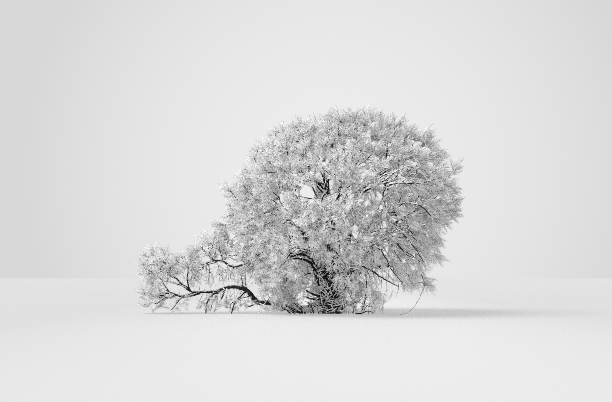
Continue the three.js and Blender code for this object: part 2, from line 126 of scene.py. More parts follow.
# Smaller branches that can be told apart, by the place where they grow: radius at the foot and the
# tip, rimed twigs per metre on them, the length of those, and points along each one in centimetres
SMALL_BRANCHES = [
    ("arched bough", [
        (0.075, 0.035, 5, 0.2, [(-82, -42, 218), (-96, -47, 238), (-114, -52, 250), (-136, -58, 260),
            (-162, -64, 264), (-195, -70, 266)]),
    ]),
    ("trunk stubs", [
        (0.065, 0.04, 4, 0.18, [(-40, -20, 78), (-74, -33, 88), (-101, -47, 99), (-127, -60, 114)]),
        (0.06, 0.035, 4, 0.18, [(-40, -25, 64), (-74, -38, 67), (-103, -52, 72), (-127, -65, 84)]),
    ]),
    ("along the ground", [
        (0.11, 0.05, 9, 0.2, [(-138, -90, 10), (-166, -95, 17), (-195, -100, 30), (-225, -108, 47)]),
        (0.06, 0.03, 9, 0.2, [(-160, -100, 10), (-195, -110, 20), (-220, -120, 22), (-240, -130, 34)]),
        (0.04, 0.02, 9, 0.2, [(-130, -90, 10), (-162, -97, 36), (-188, -105, 58)]),
    ]),
    ("low stems", [
        (0.03, 0.014, 4, 0.15, [(-98, -130, 2), (-109, -133, 40), (-106, -137, 72)]),
        (0.03, 0.014, 4, 0.15, [(-85, -130, 2), (-95, -133, 33), (-113, -137, 57)]),
        (0.035, 0.014, 4, 0.15, [(-128, -135, 2), (-150, -138, 30), (-180, -140, 52)]),
        (0.03, 0.012, 4, 0.15, [(-124, -135, 2), (-138, -138, 30), (-163, -140, 50)]),
        (0.035, 0.014, 5, 0.15, [(-150, -135, 3), (-175, -138, 22), (-210, -140, 38)]),
        (0.04, 0.014, 5, 0.15, [(-172, -130, 3), (-192, -130, 14), (-230, -135, 27)]),
        (0.035, 0.014, 5, 0.15, [(-195, -130, 3), (-212, -130, 20), (-225, -132, 40)]),
        (0.025, 0.012, 4, 0.15, [(-62, -120, 2), (-70, -123, 25), (-60, -127, 50)]),
    ]),
    ("high fork", [
        (0.065, 0.025, 5, 0.25, [(-12, -60, 530), (-22, -100, 561), (-36, -110, 570), (-57, -120, 593),
            (-75, -130, 615)]),
        (0.04, 0.02, 4, 0.25, [(-27, -90, 557), (-65, -100, 551), (-106, -110, 550), (-142, -120, 557),
            (-165, -130, 561)]),
        (0.045, 0.028, 4, 0.25, [(-65, -110, 550), (-80, -115, 577), (-96, -120, 616)]),
        (0.085, 0.035, 5, 0.25, [(-15, -50, 520), (-22, -90, 576), (-16, -97, 609), (-16, -103, 639),
            (13, -110, 675)]),
        (0.052, 0.026, 5, 0.25, [(-27, -100, 604), (-36, -110, 638), (-38, -120, 681)]),
        (0.04, 0.02, 5, 0.25, [(-34, -110, 636), (-50, -120, 673), (-70, -130, 697)]),
        (0.035, 0.02, 4, 0.25, [(-27, -100, 537), (-41, -113, 534), (-84, -127, 522), (-123, -140, 515)]),
        (0.045, 0.025, 4, 0.25, [(-22, -100, 561), (11, -110, 574), (32, -120, 592), (48, -130, 620)]),
    ]),
    ("fallen limb", [
        (0.05, 0.025, 6, 0.2, [(-330, -33, 45), (-372, -47, 43), (-393, -58, 36), (-412, -70, 29)]),
    ]),
    ("props of the fallen limb", [
        (0.04, 0.02, 7, 0.22, [(-546, -25, 102), (-571, -33, 94), (-588, -40, 77), (-600, -48, 56),
            (-601, -55, 9)]),
        (0.05, 0.03, 4, 0.2, [(-517, -25, 110), (-526, -34, 83), (-542, -42, 56), (-553, -51, 36),
            (-562, -60, 7)]),
        (0.03, 0.015, 6, 0.22, [(-546, -25, 101), (-557, -20, 81), (-577, -15, 47), (-587, -10, 7)]),
        (0.045, 0.02, 6, 0.22, [(-415, -25, 107), (-443, -34, 83), (-464, -42, 62), (-483, -51, 48),
            (-490, -60, 9)]),
        (0.035, 0.015, 6, 0.22, [(-384, -28, 84), (-420, -40, 77), (-442, -50, 72), (-470, -60, 53)]),
    ]),
    ("shoots on the fallen limb", [
        (0.03, 0.01, 14, 0.3, [(-430, -20, 120), (-434, -13, 161), (-441, -7, 186), (-459, 0, 206)]),
        (0.025, 0.01, 14, 0.3, [(-408, -20, 105), (-417, -30, 159), (-414, -40, 198)]),
    ]),
    ("tips of the fallen limb", [
        (0.05, 0.015, 9, 0.3, [(-639, -25, 102), (-662, -29, 101), (-693, -32, 92), (-715, -36, 83),
            (-742, -39, 88), (-764, -43, 97), (-783, -46, 105), (-805, -50, 115)]),
        (0.034, 0.013, 8, 0.3, [(-685, -25, 105), (-699, -23, 125), (-712, -21, 135), (-727, -19, 142),
            (-738, -17, 155), (-758, -16, 175), (-788, -12, 207), (-817, -10, 222)]),
        (0.04, 0.012, 9, 0.3, [(-683, -25, 110), (-694, -29, 140), (-697, -36, 179), (-692, -39, 202),
            (-690, -43, 219), (-699, -46, 246), (-713, -50, 280)]),
        (0.028, 0.01, 14, 0.3, [(-690, -50, 217), (-703, -53, 234), (-737, -57, 246), (-760, -60, 270)]),
        (0.042, 0.025, 5, 0.22, [(-697, -30, 93), (-719, -40, 80), (-740, -50, 58), (-754, -60, 34),
            (-772, -70, 15)]),
        (0.03, 0.01, 14, 0.3, [(-716, -30, 130), (-755, -20, 144), (-789, -10, 152), (-823, 0, 159),
            (-859, 10, 178)]),
        (0.03, 0.01, 14, 0.3, [(-756, -20, 174), (-794, -7, 198), (-829, 7, 218), (-861, 20, 247)]),
        (0.03, 0.01, 14, 0.3, [(-774, -10, 192), (-792, -20, 237), (-804, -30, 276), (-816, -40, 300)]),
        (0.035, 0.012, 12, 0.3, [(-783, -45, 105), (-793, -41, 117), (-809, -38, 140), (-833, -30, 183)]),
        (0.028, 0.01, 13, 0.28, [(-742, -40, 88), (-784, -33, 76), (-824, -27, 66), (-864, -20, 61)]),
    ]),
    ("left limb", [
        (0.035, 0.012, 12, 0.3, [(-412, -70, 239), (-431, -70, 256), (-467, -80, 260), (-496, -90, 274)]),
        (0.03, 0.01, 12, 0.3, [(-528, -45, 245), (-531, -40, 278), (-540, -35, 305), (-546, -30, 339)]),
        (0.035, 0.012, 11, 0.28, [(-551, -40, 250), (-572, -45, 243), (-597, -50, 234), (-632, -60, 198)]),
        (0.03, 0.01, 12, 0.3, [(-567, -40, 250), (-585, -35, 272), (-608, -30, 295), (-644, -20, 330)]),
        (0.03, 0.01, 12, 0.3, [(-383, -80, 250), (-406, -83, 222), (-424, -97, 188), (-433, -110, 159)]),
        (0.028, 0.01, 12, 0.3, [(-471, -60, 219), (-483, -75, 193), (-484, -90, 159)]),
    ]),
    ("right side", [
        (0.05, 0.022, 4, 0.25, [(70, -320, 290), (104, -469, 235), (135, -454, 217), (170, -433, 200),
            (200, -405, 180), (249, -342, 155), (301, -290, 130)]),
        (0.05, 0.02, 3, 0.25, [(130, -390, 570), (195, -510, 604), (234, -511, 623), (275, -504, 637),
            (309, -499, 644)]),
        (0.05, 0.02, 3, 0.25, [(130, -390, 550), (195, -515, 577), (235, -516, 584), (275, -508, 597),
            (313, -500, 601)]),
        (0.042, 0.02, 4, 0.25, [(220, -420, 570), (282, -508, 583), (322, -499, 579), (386, -472, 587),
            (461, -408, 611)]),
        (0.05, 0.02, 4, 0.25, [(280, -410, 500), (344, -496, 493), (386, -471, 478), (435, -422, 436)]),
        (0.03, 0.015, 5, 0.25, [(200, -390, 430), (251, -478, 412), (269, -471, 401), (313, -465, 389),
            (359, -408, 355)]),
        (0.03, 0.015, 5, 0.25, [(230, -390, 350), (271, -448, 323), (291, -429, 302), (362, -340, 266),
            (398, -287, 242)]),
        (0.03, 0.015, 5, 0.25, [(140, -400, 340), (180, -488, 312), (198, -478, 291), (232, -444, 246),
            (254, -396, 205)]),
    ]),
    ("whip", [
        (0.014, 0.006, 3, 0.12, [(430, -80, 190), (443, -90, 140), (427, -118, 104), (407, -147, 70),
            (375, -175, 30), (344, -203, 9), (308, -232, 3), (263, -260, 2)]),
    ]),
    ("right side", [
        (0.04, 0.018, 3, 0.22, [(230, -390, 380), (255, -450, 354), (289, -455, 305), (323, -430, 271),
            (355, -400, 260)]),
        (0.03, 0.015, 3, 0.22, [(250, -400, 405), (281, -450, 384), (325, -450, 336), (365, -410, 293),
            (411, -330, 237)]),
        (0.026, 0.013, 3, 0.22, [(220, -410, 350), (245, -460, 327), (273, -440, 275), (309, -390, 232)]),
        (0.028, 0.014, 3, 0.22, [(307, -450, 393), (349, -430, 350), (391, -380, 317)]),
        (0.032, 0.016, 3, 0.22, [(190, -440, 320), (198, -490, 300), (212, -480, 274), (236, -460, 244)]),
        (0.024, 0.012, 3, 0.22, [(229, -440, 240), (263, -410, 196), (312, -330, 147)]),
        (0.028, 0.014, 3, 0.22, [(262, -500, 446), (302, -490, 412), (336, -460, 384)]),
    ]),
    ("slot", [
        (0.05, 0.03, 2, 0.2, [(210, -500, 590), (225, -520, 598), (246, -520, 616), (272, -520, 633)]),
        (0.05, 0.03, 2, 0.2, [(220, -500, 578), (233, -520, 586), (251, -520, 598), (277, -510, 617)]),
    ]),
    ("suckers", [
        (0.036, 0.018, 6, 0.22, [(135, -100, 1), (147, -140, 41), (152, -180, 70), (155, -220, 113),
            (155, -250, 160), (150, -270, 200)]),
        (0.025, 0.01, 10, 0.28, [(118, -80, 2), (108, -83, 39), (93, -87, 78), (74, -90, 111)]),
        (0.025, 0.01, 10, 0.28, [(141, -100, 2), (164, -110, 35), (196, -120, 64), (229, -130, 83)]),
        (0.025, 0.01, 10, 0.28, [(100, -60, 2), (107, -63, 43), (114, -67, 82), (111, -70, 140)]),
    ]),
    ("ground", [
        (0.05, 0.02, 3, 0.15, [(110, -150, 4), (137, -150, 6), (155, -155, 15), (180, -160, 17),
            (195, -170, 5)]),
    ]),
    ("inner branches", [
        (0.045, 0.03, 2, 0.15, [(56, -360, 580), (60, -360, 550), (66, -360, 520)]),
        (0.045, 0.025, 2, 0.15, [(106, -360, 565), (98, -360, 542), (92, -360, 520)]),
    ]),
]
MOTTLED = ("right side", "slot", "along the ground", "suckers") # rime comes and goes along these
SMALL_BRANCH_SIDES, SMALL_BRANCH_STEP = 7, 0.12

# How each kind of mass is filled: least distance between tufts, how deep they stand under its outer
# side, sprays in a tuft, size of a spray, how widely a tuft fans out, and its droop
FILLS = {
    "crown": dict(spacing=0.66, depth=(0.42, 0.85), sprays=9, size=1.0, fan=0.62, droop=0.25),
    "crown_foot": dict(spacing=0.62, depth=(0.25, 1.5), sprays=8, size=0.9, fan=0.6, droop=0.35),
    "wing": dict(spacing=0.43, depth=(0.2, 1.3), sprays=8, size=0.72, fan=0.6, droop=0.15),
    "fallen": dict(spacing=0.36, depth=(0.15, 1.5), sprays=8, size=0.6, fan=0.65, droop=0.05),
    "fallen_under": dict(spacing=0.36, depth=(0.05, 0.9), sprays=6, size=0.45, fan=0.7, droop=-0.2),
    "sucker": dict(spacing=0.6, depth=(0.2, 1.2), sprays=3, size=0.75, fan=0.6, droop=-0.5),
}
INNER_DEPTH, INNER_SPACING = (1.25, 2.1), 0.88 # a second, sparser layer of tufts inside the crown
TRIES_PER_CUBIC_METRE = 60

# Branching: how far on the way to its tufts a branch forks, with many tufts or with fewer, how far it
# wanders off that line for each metre, and how much of its parent's heading it keeps
MANY_TUFTS, FORK_OF_MANY, FORK_OF_FEW = 6, 0.42, 0.55
WANDER = 0.07
KEPT_HEADING = 0.4
SMALL_BRANCH = 5 # tufts on a branch that an open view can do without
TUFT_RADIUS = 0.017
PIPE_POWER = 0.45 # a branch's radius grows as its count of tufts to this power
BRANCH_STEP, BRANCH_LEAD, BRANCH_NOISE = 0.25, 0.6, 0.03
SUCKER_ROOT = np.array([0.55, -0.1, 0.3])

# Sprays in a tuft: what their heading is made of, their sizes, how far along it they stand, the places
# on them that are tried against the open views, and by X how widely they spread and how many are combed
ALONG_BRANCH, OUTWARD, TUFT_TURN = 0.3, 0.8, 0.22
SPRAY_SIZES, SPRAY_FEET, TRIED_PLACES = (0.7, 1.2), (-0.12, 0.1), (0.15, 0.4, 0.6)
SPREAD_BY_X = (0.6, 2.6), (1.0, 0.5)
COMBED_BY_X = (0.6, 2.4), (0.1, 0.95)

# The score that gives a spray its tint: what it needs to be bright or plain, the weight of the way it
# faces and of chance, how large clumps of one tint are and by X how strong, and how the score changes
# for each metre down (painted light bounced up from the floor), up, and to the right (painted shade)
BRIGHT_SCORE, PLAIN_SCORE = 0.22, -0.2
FACING_WEIGHT, CHANCE_WEIGHT = 0.35, 0.18
CLUMPS_PER_METRE, CLUMPS_BY_X = 0.9, ((0, 3), (0.7, 0.35))
PAINTED_LIGHT_UNDER, PAINTED_LIGHT_UNDER_BY_X = 4.8, ((-4.5, -3.0), (0.0, 0.24))
LOSS_OVER, LOSS_UPWARDS, PAINTED_SHADE_TO_RIGHT = 6.3, 0.22, 0.02

# Tufts that stand out beyond the round of the crown, or close a gap in its front
ADDED_TUFTS = [
    (-4.95, -0.4, 5.95), (-4.75, 0.3, 5.7), (-3.5, 0.2, 7.55), (-3.6, -0.5, 7.2), (-3.2, -0.3, 7.9),
    (6.05, 0.2, 7.0), (5.95, -0.3, 6.75), (5.75, 0.0, 4.9), (4.75, 0.3, 8.3), (4.4, -0.4, 8.55),
    (-5.2, 0.1, 4.3), (-4.7, -0.5, 4.8), (4.3, -0.7, 1.5), (4.55, 0.3, 1.75), (3.8, 0.6, 1.3),
    (4.0, -1.3, 1.45), (-2.7, 0.1, 8.55), (-2.9, 0.6, 8.2), (-2.35, -0.4, 8.8), (-3.5, 0.3, 7.95),
    (5.15, 0.2, 7.6), (-1.4, -0.2, 9.0), (1.6, -0.2, 9.3), (2.8, 0.0, 9.0), (-0.3, -4.9, 4.6),
    (0.2, -4.9, 4.55), (0.65, -4.8, 4.5), (0.9, -3.6, 4.3), (1.05, -4.2, 4.05), (0.95, -4.6, 4.9),
    (1.0, -4.5, 4.6), (0.75, -4.6, 5.15), (2.4, -3.5, 5.4), (2.5, -3.2, 5.7), (2.3, -3.8, 5.2),
    (2.7, -4.2, 4.85), (-0.83, -4.9, 4.75), (1.13, -4.8, 3.35), (-0.1, -4.55, 5.05), (-0.1, -4.8, 4.45),
    (2.0, -4.4, 4.55), (0.37, -4.3, 6.38),
]

# Views through the tree that stay open, as long ellipsoids: centre, half sizes, how far the line of
# sight climbs and moves to the right for each metre away, and the share of sprays left in it
OPEN_VIEWS = [
    ((0.0, -4.4, 0.5), (0.66, 5.0, 1.05), 0.0, 0.0, 0.0), # before the trunk
    ((-0.8, -4.4, 1.4), (0.6, 5.2, 1.4), 0.0, 0.0, 0.02), # left of the trunk's foot
    ((-1.35, -4.4, 2.6), (0.72, 5.2, 0.42), 0.0, 0.0, 0.0), # before the arched bough
    ((-4.25, -2.6, 0.95), (0.95, 2.4, 0.42), 0.0, 0.0, 0.0), # before the fallen arch
    ((4.3, 0.0, -0.2), (1.9, 7.0, 1.35), 0.0, 0.0, 0.0), # under the crown on the right
    ((-1.2, 0.0, 5.83), (0.62, 9.5, 0.33), 0.0975, 0.0, 0.0), # sky left of the high fork
    ((-0.5, -4.0, 6.05), (0.8, 3.3, 0.45), 0.0975, 0.0, 0.06), # before the high fork
    ((3.05, 0.0, 6.68), (0.4, 9.0, 0.28), 0.118, 0.1, 0.1), # slot on the right
    ((0.12, 0.0, 6.27), (0.17, 9.0, 0.18), 0.108, 0.0, 0.1), # sky right of the high fork
    ((0.27, 0.0, 5.9), (0.17, 9.0, 0.15), 0.1, 0.0, 0.1), # the same, lower
    ((-0.29, -4.0, 6.75), (0.42, 3.3, 0.3), 0.12, 0.0, 0.2), # over the high fork
    ((-5.75, 0.0, 5.15), (0.5, 9.0, 0.45), 0.0, 0.0, 0.15), # outline on the left
    ((-3.95, -4.4, 2.5), (0.5, 3.7, 0.13), 0.0, 0.0, 0.35), # before the left limb
    ((-2.05, -4.4, 0.3), (0.65, 3.5, 0.3), 0.0, 0.0, 0.35), # before the low stems
    ((1.42, 0.0, 7.3), (0.16, 9.0, 0.18), 0.133, 0.0635, 0.05), # small gap, high
    ((0.81, 0.0, 5.85), (0.1, 9.0, 0.25), 0.098, 0.049, 0.15), # small gap, middle
    ((1.2, 0.0, 5.8), (0.09, 9.0, 0.22), 0.097, 0.058, 0.15), # small gap, middle
    ((-3.82, -1.0, 1.2), (0.25, 8.0, 0.42), 0.0, -0.06, 0.2), # behind the fallen arch
    ((-1.12, 0.0, 0.46), (0.35, 9.0, 0.35), 0.0, 0.0, 0.2), # among the stubs
    ((0.05, -4.4, 3.1), (0.09, 4.2, 0.26), 0.037, 0.0, 0.1), # inner limbs
    ((-0.06, -4.4, 2.6), (0.11, 4.2, 0.2), 0.02, 0.0, 0.1), # inner limbs
    ((-0.12, -4.4, 4.0), (0.13, 4.0, 0.1), 0.05, 0.0, 0.2), # inner limbs
    ((2.9, 0.0, 1.7), (0.55, 9.0, 0.5), 0.0, 0.0, 0.3), # lower right
    ((1.95, 0.0, 0.85), (1.5, 9.0, 1.4), 0.0, 0.0, 0.03), # right of the trunk
    ((6.5, 0.0, 3.7), (0.95, 9.0, 0.85), 0.0, 0.0, 0.0), # outline on the right
    ((-7.55, 0.0, 1.35), (0.75, 9.0, 0.5), 0.0, 0.0, 0.3), # forks of the fallen limb
    ((-3.05, -4.4, 0.52), (0.65, 4.0, 0.16), 0.0, 0.0, 0.1), # before the fallen limb
    ((-0.98, 0.0, 0.95), (0.5, 9.0, 0.9), 0.0, 0.0, 0.3), # round the stubs
    ((1.0, -4.6, 1.75), (0.35, 4.0, 0.3), 0.0, 0.0, 0.3), # before the low bough
]

# Painted light and shade on the crown: brighter and duller places as seen from the front: X, Z, radius, and
# change
PAINTED_LIGHT_AND_SHADE_PLACES = [
    (1.9, 3.4, 1.5, 0.45), (-2.7, 2.9, 1.6, 0.7), (-3.2, 7.6, 1.6, 0.4), (0.3, 4.4, 1.5, 0.35),
    (4.6, 5.0, 2.2, -0.15), (3.6, 2.6, 1.6, 1.05), (0.8, 8.4, 2.2, -0.05), (-3.6, 4.8, 1.8, -0.8),
    (1.9, 1.2, 1.4, 0.9),
]

# Rime: the side that it has grown on, its flakes, and how squarely each part of a twig must face
# that side to carry it
RIME_SIDE = np.array([-0.42, -0.4, 0.81])
FLAKE_LENGTH, FLAKE_WIDTH = (0.06, 0.12), 0.04
FLAKE_LEAN, COMBED_FLAKE_LEAN = (0.3, 1.2), (1.2, 2.6) # how far flakes lie along the twig
FLAKE, CORE, STEM = range(3)
BARE_BELOW = np.array([-2.0, -0.5, 0.3])
BARE_SHOOT_BELOW = -0.5
# The same for wood, where the limit is drawn between two values face by face
BARE_WOOD_BELOW = {
    "branch": (-0.3, 0.8), "small branch": (0.55, 0.95), "high fork": (0.1, 0.95), "mottled": (-0.25, 1.1),
    "slender twig": (-1.0, 1.0),
}

# Sprays: twigs along a leader, how far they lean from it, their reach, and how thick all of it is
SIDE_TWIGS, FLAKES_PER_TWIG, LEADER_LENGTH = 10, 7, 0.5
OPEN_SPRAYS, OPEN_LEAN, OPEN_REACH = 12, (0.5, 0.95), 0.3
COMBED_SPRAYS, COMBED_LEAN, COMBED_REACH = 8, (0.08, 0.3), 0.4
TWIG_RADIUS, LEADER_TIP_RADIUS = 0.016, 0.011

# Short bright shoots on the bark: how many, and their least and most length
BARK_SHOOTS = {
    "trunk": (380, (0.3, 0.75)), "bough_left_arch": (90, (0.12, 0.24)),
    "fallen_butt": (100, (0.15, 0.35)), "fallen_back": (26, (0.08, 0.16)),
    "limb_left": (22, (0.08, 0.16)), "bough_right_low": (110, (0.15, 0.35)),
    "bough_left_high": (40, (0.15, 0.3)), "bough_right_mid": (40, (0.15, 0.3)),
}
SHOOT_RADII = (0.029, 0.028, 0.022)

# Long thin twigs: how many, two corners of their box, least and most length, and the share of them
# that stands on the ground, while the rest hang
SLENDER_TWIGS = [
    (72, (0.6, -4.2, 1.4), (2.9, 3.6, 2.5), (0.5, 1.2), 0.4),
    (45, (-6.3, -0.9, 1.9), (-3.3, 0.9, 2.5), (0.3, 0.9), 0.0),
]

# Loose sprays that fill in between the limbs: two corners of their box, how many, least and most
# size, the way they lean, and the number of tints dealt out
LOOSE_SPRAYS = [
    ((-2.9, -1.25, 0.12), (-1.8, -0.5, 0.6), 60, (0.4, 0.65), (0.0, -0.2, 0.7), 2),
    ((-6.3, -1.0, 1.5), (-3.6, 1.0, 2.3), 60, (0.25, 0.4), (-0.2, 0.0, -0.6), 2),
    ((-6.95, -0.7, 1.35), (-6.25, 0.7, 2.7), 60, (0.35, 0.55), (-0.3, 0.0, -0.5), 2),
    ((-3.6, -0.9, 0.6), (-3.2, 0.6, 2.4), 45, (0.35, 0.6), (-0.2, 0.0, 0.2), 2),
    ((-7.7, -0.9, 0.12), (-6.9, 0.3, 0.8), 45, (0.25, 0.45), (-0.2, 0.0, -0.3), 2),
    ((-1.45, -0.2, 0.7), (-0.75, 0.4, 1.6), 26, (0.3, 0.5), (-0.2, 0.0, 0.5), 1),
    ((-1.35, -1.5, 0.06), (-0.62, -0.8, 0.2), 70, (0.2, 0.32), (-0.3, -0.2, 1.6), 1),
    ((0.55, -1.3, 1.15), (1.15, -0.7, 2.0), 30, (0.35, 0.55), (0.2, -0.2, 0.4), 1),
    ((1.15, -1.5, 1.95), (1.7, -0.9, 2.4), 16, (0.35, 0.55), (0.5, 0.0, -0.5), 1),
    ((-3.2, -1.2, 0.12), (-2.2, -0.8, 0.2), 40, (0.3, 0.42), (-0.5, 0.0, 0.9), 1),
]

# How low and how far out twigs may come
LOWEST = 0.012
REACH_BEYOND = 0.1
BOX_LOW, BOX_HIGH = np.array(cad_box[0]) - REACH_BEYOND, np.array(cad_box[1]) + REACH_BEYOND

# Camera, as the photograph was taken: eye height, distance, and a slight tilt upwards
CAMERA_PLACE = (-1.225, -41.66, 1.76)
CAMERA_TILT = math.radians(5.1)
LENS = 50.0

# Light: a broad sun high on the left, and an even sky with a glow behind the tree
SUN_STRENGTH = 3.0
SUN_WIDTH, SUN_SLOPE, SUN_BEARING = (math.radians(angle) for angle in (40, 34, -74))
SKY_DIM, SKY_GLOW = 0.685, 0.84
GLOW_DIRECTION = (0.03, 0.9925, 0.122)

# Floor: its tone near the tree and further off, painted light far behind it where the sky glows, and how the
# tone is shared between its colour and a painted glow of its own, which keeps shadows soft
FLOOR_SIZE = 900.0
FLOOR_NEAR, FLOOR_FAR = (4.0, 0.69), (12.0, 0.605)
FLOOR_PAINTED_HAZE = 0.022
FLOOR_ALBEDO, FLOOR_GLOW = 0.45, 0.54


def metres(points):
    return np.array(points) / 100


def unit(v):
    """A vector, or each row of vectors, made one long."""
    v = np.asarray(v, float)
    return v / np.maximum(np.linalg.norm(v, axis=-1, keepdims=True), 1e-9)


class Faces:
    """Triangles gathered together, with one or more labels on each."""

    def __init__(self):
        self.verts, self.tris, self.labels, self.count = [], [], [], 0

    def add(self, verts, tris, *labels):
        self.verts.append(np.asarray(verts, float).reshape(-1, 3))
        self.tris.append(np.asarray(tris).reshape(-1, 3) + self.count)
        self.labels.append([np.broadcast_to(label, len(self.tris[-1])) for label in labels])
        self.count += len(self.verts[-1])

    def arrays(self):
        labels = [np.concatenate(column) for column in zip(*self.labels)]
        return np.concatenate(self.verts), np.concatenate(self.tris), *labels


def place_in_scene(name, data):
    """A new object that holds a mesh, a light or the camera."""
    placed = bpy.data.objects.new(name, data)
    bpy.context.scene.collection.objects.link(placed)
    return placed


def make_piece(name, faces, materials, stands_for=(), smooth=False):
    """One Blender mesh on the tree's only body. The label on each face is its material's number."""
    verts, tris, kinds = faces.arrays()
    corners = tris.astype(np.int32).ravel()
    mesh = bpy.data.meshes.new(name)
    mesh.vertices.add(len(verts))
    mesh.vertices.foreach_set("co", verts.astype(np.float32).ravel())
    mesh.loops.add(len(corners))
    mesh.loops.foreach_set("vertex_index", corners)
    mesh.polygons.add(len(tris))
    mesh.polygons.foreach_set("loop_start", np.arange(0, len(corners), 3, dtype=np.int32))
    mesh.polygons.foreach_set("material_index", kinds.astype(np.int32))
    mesh.polygons.foreach_set("use_smooth", np.full(len(tris), smooth))
    mesh.update(calc_edges=True)
    for material in materials:
        mesh.materials.append(material)
    piece = place_in_scene(name, mesh)
    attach(piece, "root")
    if stands_for:
        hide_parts(*stands_for)


# Materials

def set_inputs(tree, node, inputs):
    """Gives a node's inputs plain values, or links them to other nodes' outputs."""
    for key, value in inputs.items():
        if isinstance(value, bpy.types.NodeSocket):
            tree.links.new(value, node.inputs[key])
        else:
            node.inputs[key].default_value = value


def add_node(tree, kind, inputs, output, operation=None, data_type=None):
    """Adds a shader node, and returns one of its outputs."""
    node = tree.nodes.new("ShaderNode" + kind)
    if operation:
        node.operation = operation
    if data_type:
        node.data_type = data_type
    set_inputs(tree, node, inputs)
    return node.outputs[output]


def ranged(tree, value, start, end, low=0.0, high=1.0):
    """A value that goes from low to high while another goes from start to end."""
    inputs = {"Value": value, "From Min": start, "From Max": end, "To Min": low, "To Max": high}
    return add_node(tree, "MapRange", inputs, "Result")


def matt(name, color, roughness):
    """A material of one colour with hardly any shine."""
    material = bpy.data.materials.new(name)
    material.use_nodes = True
    plain = {"Base Color": (*color, 1.0), "Roughness": roughness, "Specular IOR Level": 0.15}
    set_inputs(material.node_tree, material.node_tree.nodes["Principled BSDF"], plain)
    return material


def bark_material():
    """Dark furrowed bark with rime on the side that faced the frost."""
    material = matt("bark", (0.03, 0.028, 0.026), 0.9)
    tree = material.node_tree
    place = add_node(tree, "TexCoord", {}, "Object")
    grain = add_node(tree, "TexNoise", {"Vector": place, "Scale": 26.0, "Detail": 6.0}, "Fac")
    tones = tree.nodes.new("ShaderNodeValToRGB")
    furrow, ridge = tones.color_ramp.elements
    furrow.position, furrow.color = 0.32, (0.007, 0.0065, 0.006, 1)
    ridge.position, ridge.color = 0.72, (0.05, 0.046, 0.042, 1)
    set_inputs(tree, tones, {"Fac": grain})

    normal = add_node(tree, "NewGeometry", {}, "Normal")
    facing = add_node(tree, "VectorMath", {0: normal, 1: RIME_SIDE.tolist()}, "Value", "DOT_PRODUCT")
    patches = add_node(tree, "TexNoise", {"Vector": place, "Scale": 14.0, "Detail": 4.0}, "Fac")
    cover = ranged(tree, add_node(tree, "Math", {0: facing, 1: patches}, "Value", "ADD"), 1.26, 1.42)
    layers = {"Factor": cover, "A": tones.outputs["Color"], "B": (0.72, 0.73, 0.74, 1)}
    color = add_node(tree, "Mix", layers, "Result", data_type="RGBA")
    relief = add_node(tree, "Bump", {"Height": grain, "Strength": 0.5, "Distance": 0.01}, "Normal")
    set_inputs(tree, tree.nodes["Principled BSDF"], {"Base Color": color, "Normal": relief})
    return material


BARK = bark_material()
# Rime in three tints, dealt out partly at random and partly by painted light and shade
TWIG_MATERIALS = [
    matt("rime_bright", (0.96, 0.963, 0.966), 0.55), matt("rime_plain", (0.91, 0.913, 0.917), 0.6),
    matt("rime_dull", (0.78, 0.783, 0.787), 0.65), matt("twig_bark", (0.02, 0.018, 0.017), 0.9),
]
BRIGHT, PLAIN, DULL, DARK = range(4)
# The materials that a spray's three tones take, by the spray's tint
TINTS = np.array([[BRIGHT, BRIGHT, PLAIN], [BRIGHT, PLAIN, DULL], [PLAIN, DULL, DULL]])


# Curves and tubes

def smooth_path(points, step):
    """Places at an even step along a centripetal Catmull-Rom curve through the points."""
    p = np.asarray(points, float)
    p = np.vstack([2 * p[0] - p[1], p, 2 * p[-1] - p[-2]])
    out = []
    for i in range(1, len(p) - 2):
        gaps = np.sqrt(np.linalg.norm(np.diff(p[i - 1:i + 3], axis=0), axis=1))
        k = np.concatenate([[0], np.cumsum(gaps)])
        t = np.linspace(k[1], k[2], 14, endpoint=False)[:, None]
        a = [((k[j + 1] - t) * p[i - 1 + j] + (t - k[j]) * p[i + j]) / (k[j + 1] - k[j]) for j in range(3)]
        b = [((k[j + 2] - t) * a[j] + (t - k[j]) * a[j + 1]) / (k[j + 2] - k[j]) for j in range(2)]
        out.append(((k[2] - t) * b[0] + (t - k[1]) * b[1]) / (k[2] - k[1]))
    path = np.vstack([*out, p[-2:-1]])
    lengths = np.concatenate([[0], np.cumsum(np.linalg.norm(np.diff(path, axis=0), axis=1))])
    even = np.linspace(0, lengths[-1], max(2, round(lengths[-1] / step)) + 1)
    return np.stack([np.interp(even, lengths, path[:, j]) for j in range(3)], -1)


def along_path(path, place):
    """The point at a place on a path, counted in its steps."""
    i = int(place)
    return path[i] + (path[i + 1] - path[i]) * (place - i)


def frames_along(path):
    """A path's direction at each place, and a pair of directions across it, turned as little as can be."""
    tangents = unit(np.gradient(path, axis=0))
    side = np.cross(tangents[0], (0.3, 0.9, 0.2) if abs(tangents[0][1]) < 0.8 else (1, 0, 0))
    across = []
    for tangent in tangents:
        side = unit(side - tangent * (side @ tangent))
        across.append((side, np.cross(tangent, side)))
    return tangents, np.array(across)


def ring_tris(rings, sides):
    """Triangles that join rings of vertices in turn, and the last ring to a tip."""
    here = np.arange(sides)
    after = (here + 1) % sides
    tris = []
    for i in range(rings - 1):
        a, b = i * sides + here, i * sides + after
        tris += [np.stack([a, b, b + sides], -1), np.stack([a, b + sides, a + sides], -1)]
    last = (rings - 1) * sides
    tris.append(np.stack([last + here, last + after, np.full(sides, last + sides)], -1))
    return np.vstack(tris)


def tube(path, radii, sides):
    """A tube that ends in a point, as vertices, triangles and each triangle's outward direction."""
    path = np.asarray(path, float)
    _, across = frames_along(path)
    angles = np.arange(sides) * 2 * math.pi / sides
    ring = np.cos(angles)[:, None] * across[:-1, None, 0] + np.sin(angles)[:, None] * across[:-1, None, 1]
    radii = np.asarray(radii, float)[: len(path) - 1, None, None]
    verts = np.vstack([(path[:-1, None] + ring * radii).reshape(-1, 3), path[-1:]])
    out = ring + np.roll(ring, -1, axis=1)
    out = np.concatenate([np.repeat(out[:-1], 2, axis=0), out[-1:]])
    return verts, ring_tris(len(path) - 1, sides), unit(out.reshape(-1, 3))


